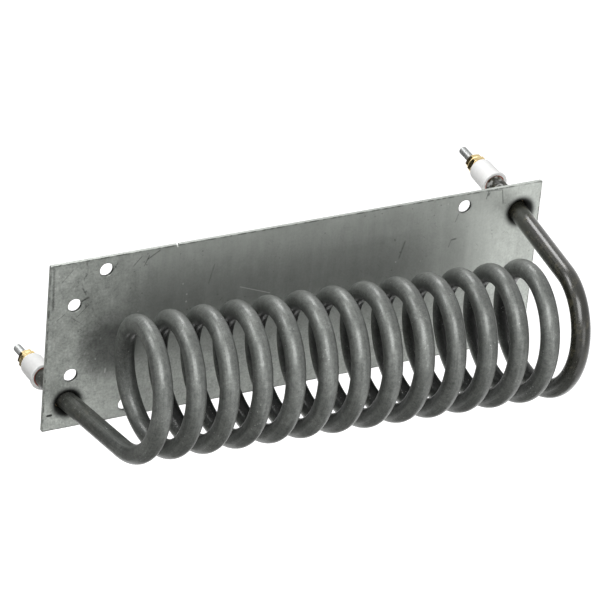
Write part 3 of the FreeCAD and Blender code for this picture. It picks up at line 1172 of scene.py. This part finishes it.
def sweep(solid: Solid, line: Sequence[Station], radius: float, count: int) -> list[Ring]:
    """Carry a circle along a line without twist and join the circles.

    Args:
        solid: Where the wall is added.
        line: Stations of the line.
        radius: Radius of the circle.
        count: Number of points round it.

    Returns:
        The first and the last loop.
    """
    arm = line[0].heading.orthogonal().normalized() * radius
    rings: list[Ring] = []
    for index, station in enumerate(line):
        if index:
            arm.rotate(line[index - 1].heading.rotation_difference(station.heading))
        turns = [Quaternion(station.heading, 2 * math.pi * at / count) for at in range(count)]
        rings.append(solid.ring(station.point + turn @ arm for turn in turns))
        for at, vertex in enumerate(rings[-1]):
            solid.maps[vertex] = (station.travelled, abs(1.0 - 2.0 * at / count))
    solid.skin(rings)
    return [rings[0], rings[-1]]


def mount_piece(piece: bpy.types.Object, node: str) -> None:
    """Let a piece stand for a CAD node and ride with the part.

    Args:
        piece: The piece.
        node: The CAD node that it replaces.
    """
    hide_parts(node)
    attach(piece, BODY)
    LOG.info("%s: %d faces for %s", piece.name, len(piece.data.polygons), node)


def dress_node(node: str, finish: PlainFinish) -> None:
    """Give a carried-over CAD node a finish in its own slots.

    Args:
        node: The node.
        finish: Its finish.
    """
    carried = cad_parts[node]
    material = finish.material()
    for slot in carried.material_slots:
        slot.material = material
    LOG.info("%s: kept, with %s", node, finish.name)


@dataclass
class Sheath:
    """The metal tube, and the powder and winding that it holds."""

    line: CentreLine
    wall: float = mm(0.9)
    engagement: float = mm(8.0)
    count: int = 36
    crease: float = 60.0

    def build(self) -> None:
        """Make the tube as a hollow pipe, and dress what is inside it."""
        solid = Solid()
        stations = self.line.stations(self.engagement)
        outer = sweep(solid, stations, self.line.sheath_radius, self.count)
        inner = sweep(solid, stations, self.line.sheath_radius - self.wall, self.count)
        for outer_end, inner_end in zip(outer, inner):
            solid.bridge(outer_end, inner_end)
        finish = SheathOxide().material(stations[-1].travelled, self.line)
        mount_piece(solid.piece("sheath_tube", finish, self.crease), "sheath")
        dress_node("magnesia_fill", MAGNESIA)
        dress_node("resistance_coil", WINDING)


@dataclass
class MountingPlate:
    """The sheared sheet with its bolt holes and a drawn collar for each tube."""

    line: CentreLine
    thickness: float = mm(2.0)
    edge_break: float = mm(0.16)
    corner_radius: float = mm(0.8)
    hole_radius: float = mm(4.0)
    row_inset: float = mm(8.1)
    outer_inset: float = mm(33.4)
    inner_inset: float = mm(49.7)
    end_inset: float = mm(15.6)
    end_height: float = mm(25.0)
    lone_rise: float = mm(17.3)
    end_margin: float = mm(12.65)
    edge_margin: float = mm(15.75)
    notch_inset: float = mm(75.5)
    notch_width: float = mm(1.4)
    notch_depth: float = mm(1.3)
    dash_end_inset: float = mm(4.1)
    dash_edge_inset: float = mm(9.8)
    dash_length: float = mm(3.4)
    dash_width: float = mm(1.3)
    dash_depth: float = mm(0.5)
    clearance: float = mm(0.6)
    shoulder: float = mm(3.3)
    collar_wall: float = mm(1.6)
    collar_height: float = mm(7.0)
    collar_lip: float = mm(0.25)
    round_count: int = 64
    arc_steps: int = 10
    corner_steps: int = 4
    dash_steps: int = 8
    crease: float = 24.0

    def __post_init__(self) -> None:
        """Work out the plate's size from the places of the tubes."""
        self.bore = self.line.sheath_radius + self.clearance
        self.mouth_radius = self.bore + self.shoulder
        self.mouths = {side: self.line.corner(side) for side in Side}
        self.half_length = max(abs(at.x) for at in self.mouths.values()) + self.end_margin
        self.half_height = max(abs(at.z) for at in self.mouths.values()) + self.edge_margin
        x, z = self.dash_end_inset - self.half_length, self.dash_edge_inset - self.half_height
        self.dash_centre = Vector((x, 0, z))

    def hole_centres(self) -> list[Vector]:
        """Bolt hole centres: pairs that swap when the plate is turned half round, and a lone one.

        Returns:
            The centres in the coil-side face.
        """
        row = self.half_height - self.row_inset
        pairs = (
            (self.half_length - self.inner_inset, row),
            (self.outer_inset - self.half_length, row),
            (self.end_inset - self.half_length, self.end_height),
        )
        centres = [Vector((sign * x, 0, sign * z)) for x, z in pairs for sign in (1, -1)]
        lone = Vector((self.end_inset - self.half_length, 0, self.mouths[Side.LEFT].z + self.lone_rise))
        return centres + [lone]

    def outline(self, inset: float) -> list[Vector]:
        """Draw the sheet's edge with its rounded corners and notch.

        Args:
            inset: How far it is moved inwards.

        Returns:
            The points of the edge.
        """
        half_x, half_z = self.half_length - inset, self.half_height - inset
        radius = self.corner_radius - inset
        points: list[Vector] = []
        for quarter, (sign_x, sign_z) in enumerate(((1, -1), (1, 1), (-1, 1), (-1, -1))):
            x, z = sign_x * (half_x - radius), sign_z * (half_z - radius)
            for across, up in arc(radius, 90 * (quarter - 1), 90, self.corner_steps):
                points.append(Vector((x + across, 0, z + up)))
            if quarter == 1:
                points.extend(self._notch(inset))
        return points

    def _notch(self, inset: float) -> list[Vector]:
        """Corners of the nick in the top edge, from right to left.

        Args:
            inset: How far the edge is moved inwards.

        Returns:
            The four corners.
        """
        middle = self.notch_inset - self.half_length
        half = self.notch_width / 2 + inset
        top, bottom = self.half_height - inset, self.half_height - self.notch_depth - inset
        return [
            Vector((middle + half, 0, top)),
            Vector((middle + half, 0, bottom)),
            Vector((middle - half, 0, bottom)),
            Vector((middle - half, 0, top)),
        ]

    def _dash(self) -> list[Vector]:
        """Outline of the short slot struck into the coil-side face.

        Returns:
            The points of the outline.
        """
        radius = self.dash_width / 2
        half = self.dash_length / 2 - radius
        points = []
        for end, start in ((half, -90), (-half, 90)):
            for across, up in arc(radius, start, 180, self.dash_steps):
                points.append(self.dash_centre + Vector((end + across, 0, up)))
        return points

    def _hole(self, centre: Vector, inset: float) -> list[Vector]:
        """Edge of a bolt hole, which an inset widens."""
        return flat_circle(centre, self.hole_radius + inset, self.round_count)

    def _wall(self, solid: Solid, shape: Callable[[float], list[Vector]]) -> tuple[Ring, Ring]:
        """Add a sheared wall with both edges broken.

        Args:
            solid: Where it is added.
            shape: Gives the points of the wall's edge at an inset.

        Returns:
            Its front and back loops.
        """
        levels = (
            (0.0, self.edge_break),
            (self.edge_break, 0.0),
            (self.thickness - self.edge_break, 0.0),
            (self.thickness, self.edge_break),
        )
        rings = []
        for depth, inset in levels:
            rings.append(solid.ring(point + Vector((0, depth, 0)) for point in shape(inset)))
        solid.skin(rings)
        return rings[0], rings[-1]

    def collar_profile(self) -> list[Pair]:
        """Draw a collar from its mouth through the neck to its foot behind the sheet.

        Returns:
            Radius and depth pairs.
        """
        neck = self.bore + self.collar_wall
        inner_bend = self.shoulder - self.thickness
        lip = self.collar_lip
        profile = []
        for across, up in arc(self.shoulder, 0, 90, self.arc_steps):
            profile.append((self.mouth_radius - up, self.shoulder - across))
        profile += [
            (self.bore, self.collar_height - lip),
            (self.bore + lip, self.collar_height),
            (neck - lip, self.collar_height),
            (neck, self.collar_height - lip),
        ]
        for across, up in arc(inner_bend, 0, 90, self.arc_steps):
            profile.append((neck + inner_bend - across, self.thickness + inner_bend - up))
        return profile

    def _collar(self, solid: Solid, at: Vector) -> tuple[Ring, Ring]:
        """Add a drawn collar.

        Args:
            solid: Where it is added.
            at: Its centre.

        Returns:
            Its front and back loops.
        """
        rings = []
        for radius, depth in self.collar_profile():
            rings.append(solid.ring(flat_circle(Vector((at.x, depth, at.z)), radius, self.round_count)))
        solid.skin(rings)
        return rings[0], rings[-1]

    def plan(self) -> SheetPlan:
        """Where the sheet's openings and edges lie."""
        return SheetPlan(
            half_length=self.half_length,
            half_height=self.half_height,
            thickness=self.thickness,
            mouths=list(self.mouths.values()),
            mouth_radius=self.mouth_radius,
            holes=self.hole_centres(),
            hole_radius=self.hole_radius,
            dash=self.dash_centre,
            dash_size=(self.dash_length, self.dash_width),
        )

    def build(self) -> None:
        """Make the sheet as one closed mesh."""
        solid = Solid()
        walls = [self._wall(solid, self.outline)]
        walls += [self._wall(solid, partial(self._hole, centre)) for centre in self.hole_centres()]
        walls += [self._collar(solid, at) for at in self.mouths.values()]
        dash = solid.ring(self._dash())
        floor = solid.ring(point + Vector((0, self.dash_depth, 0)) for point in self._dash())
        solid.bridge(dash, floor)
        solid.cap(floor)
        solid.fill([front for front, back in walls] + [dash])
        solid.fill([back for front, back in walls])
        finish = ZincSheet().material(self.plan())
        mount_piece(solid.piece("plate_sheet", finish, self.crease), "mounting_plate")


@dataclass
class Terminal:
    """One end of the element: bush, seal, stud, nuts, washer and the braze behind the plate."""

    side: Side
    line: CentreLine
    plate: MountingPlate
    bush_length: float = mm(19.0)
    rim_radius: float = mm(7.9)
    rim_height: float = mm(2.2)
    rim_ledge: float = mm(0.7)
    rim_rounding: float = mm(0.5)
    taper: float = mm(0.3)
    socket_radius: float = mm(6.0)
    socket_depth: float = mm(9.4)
    crown: float = mm(2.4)
    mouth_rounding: float = mm(0.4)
    socket_rounding: float = mm(0.3)
    bore_rounding: float = mm(0.2)
    stud_bore_clearance: float = mm(0.2)
    engagement: float = mm(8.0)
    plug_depth: float = mm(4.0)
    seal_recess: float = mm(0.5)
    bore_radius: float = mm(4.56)
    stud_radius: float = mm(2.415)
    thread_engagement: float = mm(0.26)
    shank_radius: float = mm(1.6)
    cold_reach: float = mm(40.0)
    thread_pitch: float = mm(0.794)
    thread_depth: float = mm(0.42)
    thread_steps: int = 10
    stud_projection: float = mm(13.4)
    point_chamfer: float = mm(0.6)
    seat_nut: Pair = (mm(11.1), mm(3.4))
    clamp_nut: Pair = (mm(9.5), mm(3.2))
    nut_turn: dict[Side, float] = per_side(math.radians(46.0), math.radians(56.0))
    clamp_extra_turn: float = math.radians(4.0)
    nut_chamfer: float = math.radians(30.0)
    nut_face: float = 0.97
    nut_crease: float = 20.0
    washer_radius: float = mm(5.5)
    washer_thickness: float = mm(0.9)
    washer_clearance: float = mm(0.2)
    washer_rounding: float = mm(0.25)
    braze_height: float = mm(2.6)
    braze_toe: float = mm(0.4)
    braze_crest: float = mm(0.385)
    braze_levels: int = 5
    round_count: int = 72
    stud_count: int = 48
    stud_crease: float = 50.0
    shank_count: int = 16

    def __post_init__(self) -> None:
        """Work out where the pieces stack on the stud."""
        self.place = self.line.terminal(self.side)
        self.washer_base = self.bush_length + self.seat_nut[1]
        self.clamp_base = self.washer_base + self.washer_thickness
        self.thread_base = self.clamp_base + self.clamp_nut[1]
        self.tip = self.thread_base + self.stud_projection
        self.engaged_radius = self.stud_radius - self.thread_engagement

    def _mount(
        self, stem: str, solid: Solid, finish: bpy.types.Material, crease: float = CREASE
    ) -> None:
        """Make a solid the piece that stands for a node of this side.

        Args:
            stem: Name of the node without its side.
            solid: The solid.
            finish: Its material.
            crease: Angle in degrees above which an edge stays sharp.
        """
        mount_piece(solid.piece(self.side.node(f"{stem}_body"), finish, crease), self.side.node(stem))

    def _turned(self, stem: str, corners: Sequence[Corner], finish: bpy.types.Material) -> None:
        """Make a piece that is turned round the terminal's axis.

        Args:
            stem: Name of the node without its side.
            corners: Corners of its closed outline.
            finish: Its material.
        """
        solid = Solid()
        rings = []
        for radius, height in rounded_outline(corners):
            rings.append(solid.ring(circle(radius, height, self.round_count), self.place))
        solid.skin(rings, closed=True)
        self._mount(stem, solid, finish)

    def build(self, finishes: dict[str, bpy.types.Material]) -> None:
        """Make the pieces of this side.

        Args:
            finishes: Materials by piece or slot name.
        """
        self._bush(finishes["glazed_ceramic"])
        self._seal(finishes["seal_compound"])
        self._pin(finishes["stud_steel"])
        turn, brass = self.nut_turn[self.side], finishes["brass"]
        self._nut("seat_nut", self.seat_nut, self.bush_length, turn, brass)
        self._nut("clamp_nut", self.clamp_nut, self.clamp_base, turn + self.clamp_extra_turn, brass)
        self._washer(finishes["washer"])
        self._braze(finishes["braze"])

    def _bush(self, finish: bpy.types.Material) -> None:
        """Glazed bush with a rim round its mouth, a wide socket and a narrow bore.

        Args:
            finish: Its material.
        """
        bore = self.stud_radius + self.stud_bore_clearance
        foot = self.rim_radius - self.rim_ledge
        corners = (
            Corner(self.socket_radius, 0, self.mouth_rounding),
            Corner(self.rim_radius, 0, self.rim_rounding),
            Corner(self.rim_radius, self.rim_height, self.rim_rounding),
            Corner(foot, self.rim_height),
            Corner(foot - self.taper, self.bush_length, self.crown),
            Corner(bore, self.bush_length, self.bore_rounding),
            Corner(bore, self.socket_depth, self.bore_rounding),
            Corner(self.socket_radius, self.socket_depth, self.socket_rounding),
        )
        self._turned("ceramic_bush", corners, finish)

    def _seal(self, finish: bpy.types.Material) -> None:
        """Compound round the sheath's end, over its face and down into its bore.

        Args:
            finish: Its material.
        """
        sheath = self.line.sheath_radius
        fill_end = self.engagement - self.plug_depth
        corners = (
            Corner(sheath, self.seal_recess),
            Corner(self.socket_radius, self.seal_recess),
            Corner(self.socket_radius, self.socket_depth),
            Corner(self.shank_radius, self.socket_depth),
            Corner(self.shank_radius, fill_end),
            Corner(self.bore_radius, fill_end),
            Corner(self.bore_radius, self.engagement),
            Corner(sheath, self.engagement),
        )
        self._turned("end_seal", corners, finish)

    def _washer(self, finish: bpy.types.Material) -> None:
        """Plain washer between the nuts.

        Args:
            finish: Its material.
        """
        low, high = self.washer_base, self.clamp_base
        bore = self.stud_radius + self.washer_clearance
        corners = (
            Corner(bore, low),
            Corner(self.washer_radius, low, self.washer_rounding),
            Corner(self.washer_radius, high, self.washer_rounding),
            Corner(bore, high),
        )
        self._turned("washer", corners, finish)

    def _nut(self, stem: str, size: Pair, base: float, turn: float, finish: bpy.types.Material) -> None:
        """Hexagon nut with both faces chamfered to a circle.

        Args:
            stem: Name of the piece without its side.
            size: Width across the flats, and height.
            base: Where its lower face stands on the stud.
            turn: Angle of its first corner.
            finish: Its material.
        """
        width, height = size
        flat = width / 2
        edge = flat * self.nut_face
        slope = math.tan(self.nut_chamfer)
        solid = Solid()

        def side(angle: float) -> float:
            """Distance of the hexagon's wall from the axis."""
            return flat / math.cos((angle - turn) % (math.pi / 3) - math.pi / 6)

        def drop(angle: float) -> float:
            """How far the chamfer has come down where it meets the wall."""
            return (side(angle) - edge) * slope

        def loop(radius: ByAngle, level: ByAngle) -> Ring:
            """Add a loop whose radius and height change with the angle.

            Args:
                radius: Radius at an angle.
                level: Height above the nut's lower face at an angle.

            Returns:
                The loop.
            """
            points = []
            for at in range(self.round_count):
                angle = turn + 2 * math.pi * at / self.round_count
                reach = radius(angle)
                points.append(Vector((reach * math.cos(angle), reach * math.sin(angle), base + level(angle))))
            return solid.ring(points, self.place)

        rings = [
            loop(lambda angle: self.engaged_radius, lambda angle: 0.0),
            loop(lambda angle: edge, lambda angle: 0.0),
            loop(side, drop),
            loop(side, lambda angle: height - drop(angle)),
            loop(lambda angle: edge, lambda angle: height),
            loop(lambda angle: self.engaged_radius, lambda angle: height),
        ]
        solid.skin(rings, closed=True)
        self._mount(stem, solid, finish, self.nut_crease)

    def _groove(self, level: float, angle: float) -> float:
        """Change of the stud's radius at a height and an angle: the thread, cut off by the point's chamfer.

        Args:
            level: Height on the stud.
            angle: Angle round it.

        Returns:
            How far the surface lies off the major radius, 0 or below.
        """
        phase = (level / self.thread_pitch + angle / (2 * math.pi)) % 1.0
        # A V whose crest and root are flattened: 0 at the crest, 1 at the root
        cut = min(1.0, max(0.0, 1.15 - abs(2.6 * phase - 1.3)))
        bevel = max(0.0, level - (self.tip - self.point_chamfer))
        return -max(self.thread_depth * cut, bevel)

    def _pin(self, finish: bpy.types.Material) -> None:
        """Threaded stud, and the cold shank that runs inside the sheath.

        Args:
            finish: Its material.
        """
        solid = Solid()
        rings = []
        for level in (self.socket_depth, self.thread_base):
            rings.append(solid.ring(circle(self.engaged_radius, level, self.stud_count), self.place))
        steps = round((self.tip - self.thread_base) / self.thread_pitch * self.thread_steps)
        for step in range(steps + 1):
            level = self.thread_base + (self.tip - self.thread_base) * step / steps
            points = circle(self.stud_radius, level, self.stud_count, partial(self._groove, level))
            rings.append(solid.ring(points, self.place))
        solid.skin(rings)
        solid.cap(rings[0])
        solid.cap(rings[-1])
        way = self.line.way_in(self.side, self.socket_depth)
        leg = self.line.leg_heading(self.side)
        way.append((self.line.corner(self.side) - leg * self.cold_reach, -leg))
        stations = [Station(point, heading, 0.0) for point, heading in way]
        for end in sweep(solid, stations, self.shank_radius, self.shank_count):
            solid.cap(end)
        solid.maps.clear()
        self._mount("terminal_pin", solid, finish, self.stud_crease)

    def _on_tube(self, depth: float, extra: float) -> list[Vector]:
        """Points round the tube where it crosses a depth behind the plate's coil-side face.

        Args:
            depth: The depth.
            extra: How far off the tube's wall they lie.

        Returns:
            The points.
        """
        station = self.line.near_plate(self.side, depth)
        points = []
        for ray in flat_circle(Vector(), 1.0, self.round_count):
            lean = ray.dot(station.heading)
            reach = (self.line.sheath_radius + extra) / math.sqrt(1.0 - lean * lean)
            points.append(station.point + ray * reach)
        return points

    def _braze(self, finish: bpy.types.Material) -> None:
        """Fillet of braze between the collar's end and the tube.

        Args:
            finish: Its material.
        """
        base, top = self.plate.collar_height, self.plate.collar_height + self.braze_height
        hole = self.plate.mouths[self.side]
        foot = self.plate.bore + self.plate.collar_wall - self.braze_toe
        solid = Solid()
        outer = flat_circle(Vector((hole.x, base, hole.z)), foot, self.round_count)
        crest = self._on_tube(top, self.braze_crest)
        rings = [solid.ring(self._on_tube(base, 0.0)), solid.ring(outer)]
        for level in range(1, self.braze_levels + 1):
            share = level / self.braze_levels
            sag = 1.0 - (1.0 - share) ** 2
            lift = share**1.6
            points = [low.lerp(high, sag) for low, high in zip(outer, crest)]
            for point in points:
                point.y = base + (top - base) * lift
            rings.append(solid.ring(points))
        rings.append(solid.ring(self._on_tube(top, 0.0)))
        solid.skin(rings, closed=True)
        self._mount("braze_ring", solid, finish)


@dataclass
class Studio:
    """White sweep, soft lamps and the camera."""

    floor_drop: float = 0.40
    floor_size: float = 14.0
    floor_colour: Colour = (0.80, 0.80, 0.80)
    floor_glow: float = 0.58
    ambient: float = 0.17
    black: Colour = (0.045, 0.043, 0.038)
    grey: Colour = (0.30, 0.30, 0.29)
    image_side: float = 600.0
    focal_pixels: float = 4072.0
    sensor: float = 36.0
    camera_place: Triple = (mm(-976.63), mm(-1710.61), mm(1116.13))
    camera_right: Triple = (0.8868, -0.4552, 0.0800)
    camera_down: Triple = (-0.1635, -0.4709, -0.8669)

    def build(self) -> None:
        """Make the set and the camera."""
        self._floor()
        self._world()
        self._lamp("key_softbox", (-1.0, -1.6, 2.4), 1.8, 67.0)
        self._lamp("front_softbox", (0.35, -2.4, 0.50), 1.3, 10.0)
        self._lamp("rear_softbox", (0.38, 1.65, 1.60), 0.80, 13.0)
        self._lamp("rear_left_softbox", (-1.2, 0.9, 2.0), 0.8, 16.0)
        self._flag("rear_flag", (-1.0, 1.1, 0.15), (1.6, 1.1), self.black)
        self._flag("front_floor_flag", (-1.30, -0.62, -0.395), (2.5, 1.4), self.grey)
        self._flag("side_floor_flag", (-1.20, 0.60, -0.395), (1.9, 1.0), self.grey)
        self._flag("under_flag", (0.08, -0.16, -0.395), (0.30, 0.50), self.grey)
        self._camera()

    def _seen(self, graph: Graph) -> Signal:
        """1 for rays that come from the camera, a reflection or glass, else 0.

        Args:
            graph: The graph that asks.

        Returns:
            The signal.
        """
        seen = graph.node("ShaderNodeLightPath", out="Is Camera Ray")
        for kind in ("Is Glossy Ray", "Is Transmission Ray"):
            seen = seen.most(graph.node("ShaderNodeLightPath", out=kind))
        return seen

    def _board(
        self, name: str, middle: Vector, reach: tuple[Vector, Vector], finish: bpy.types.Material
    ) -> bpy.types.Object:
        """Make a flat board that belongs to the set.

        Args:
            name: Its name.
            middle: Its middle.
            reach: Half its width and half its height, as vectors.
            finish: Its material.

        Returns:
            The board.
        """
        across, up = reach
        solid = Solid()
        corners = ((-1, -1), (1, -1), (1, 1), (-1, 1))
        solid.faces.append(tuple(solid.ring(middle + across * x + up * y for x, y in corners)))
        board = solid.piece(name, finish)
        LOG.info("%s: part of the set", name)
        return board

    def _floor(self) -> None:
        """A pale floor that shows white and keeps the object's shadow."""
        half = self.floor_size / 2
        graph = Graph("studio_floor")
        tone = graph.noise(graph.place(), 3.0, 2.0)
        colour = graph.scale_colour(self.floor_colour, 1.0 + (tone - 0.5) * 0.01)
        diffuse = graph.node("ShaderNodeBsdfDiffuse", sockets={"Color": colour})
        glow = self._seen(graph) * self.floor_glow
        light = graph.node("ShaderNodeEmission", sockets={"Color": (1, 1, 1, 1), "Strength": glow})
        finish = graph.finish(graph.node("ShaderNodeAddShader", sockets={0: diffuse, 1: light}))
        middle = Vector((0, 0, -self.floor_drop))
        self._board("studio_floor", middle, (Vector((half, 0, 0)), Vector((0, half, 0))), finish)

    def _world(self) -> None:
        """Even soft light that the camera and reflections see brighter than the object does."""
        graph = Graph("studio_light", world=True)
        strength = self._seen(graph) * (1.0 - self.ambient) + self.ambient
        light = graph.node("ShaderNodeBackground", sockets={"Strength": strength})
        bpy.context.scene.world = graph.finish(light)

    def _lamp(self, name: str, at: Triple, size: float, power: float) -> None:
        """Add a square softbox that faces the object.

        Args:
            name: Its name.
            at: Its middle.
            size: Length of its side.
            power: Power in watts.
        """
        data = bpy.data.lights.new(name, "AREA")
        data.size = size
        data.energy = power
        lamp = bpy.data.objects.new(name, data)
        lamp.location = at
        lamp.rotation_euler = (-Vector(at)).to_track_quat("-Z", "Y").to_euler()
        bpy.context.scene.collection.objects.link(lamp)

    def _flag(self, name: str, at: Triple, size: Pair, colour: Colour) -> None:
        """Add a matt board that only reflections and bounced light show.

        Args:
            name: Name of the board.
            at: Its middle. A board near the floor lies flat, and any other stands upright and faces the
                object.
            size: Width and height.
            colour: Its colour.
        """
        middle = Vector(at)
        lies = abs(middle.z + self.floor_drop) < mm(10)
        aside = Vector((1, 0, 0)) if lies else Vector((middle.y, -middle.x, 0)).normalized()
        rise = Vector((0, 1, 0)) if lies else Vector((0, 0, 1))
        graph = Graph(name)
        weave = graph.noise(graph.place(), 300.0, 2.0)
        cloth = graph.scale_colour(colour, 1.0 + (weave - 0.5) * 0.3)
        finish = graph.surface({"Roughness": 1.0, "Specular IOR Level": 0.0}, {"Base Color": cloth})
        board = self._board(name, middle, (aside * (size[0] / 2), rise * (size[1] / 2)), finish)
        board.visible_camera = False
        board.visible_shadow = False

    def _camera(self) -> None:
        """The long lens that took the photograph, from its own place."""
        data = bpy.data.cameras.new("camera")
        data.sensor_width = self.sensor
        data.lens = self.focal_pixels / self.image_side * self.sensor
        data.clip_end = 50.0
        right, up = Vector(self.camera_right), -Vector(self.camera_down)
        right.normalize()
        up = (up - right * up.dot(right)).normalized()
        turn = Matrix((right, up, right.cross(up))).transposed()
        camera = bpy.data.objects.new("camera", data)
        camera.matrix_world = Matrix.Translation(self.camera_place) @ turn.to_4x4()
        bpy.context.scene.collection.objects.link(camera)
        bpy.context.scene.camera = camera


def main() -> None:
    """Build the element, the set and the camera."""
    logging.basicConfig(level=logging.INFO, format="%(message)s")
    line = CentreLine()
    plate = MountingPlate(line)
    plate.build()
    Sheath(line).build()
    finishes = {
        "glazed_ceramic": GLAZE.material(),
        "seal_compound": SEAL.material(),
        "stud_steel": STUD.material(),
        "brass": BRASS.material(),
        "washer": WASHER.material(),
        "braze": BRAZE.material(),
    }
    for side in Side:
        Terminal(side, line, plate).build(finishes)
    Studio().build()
    bpy.context.scene.view_settings.view_transform = "Standard"


if __name__ == "__main__":
    main()
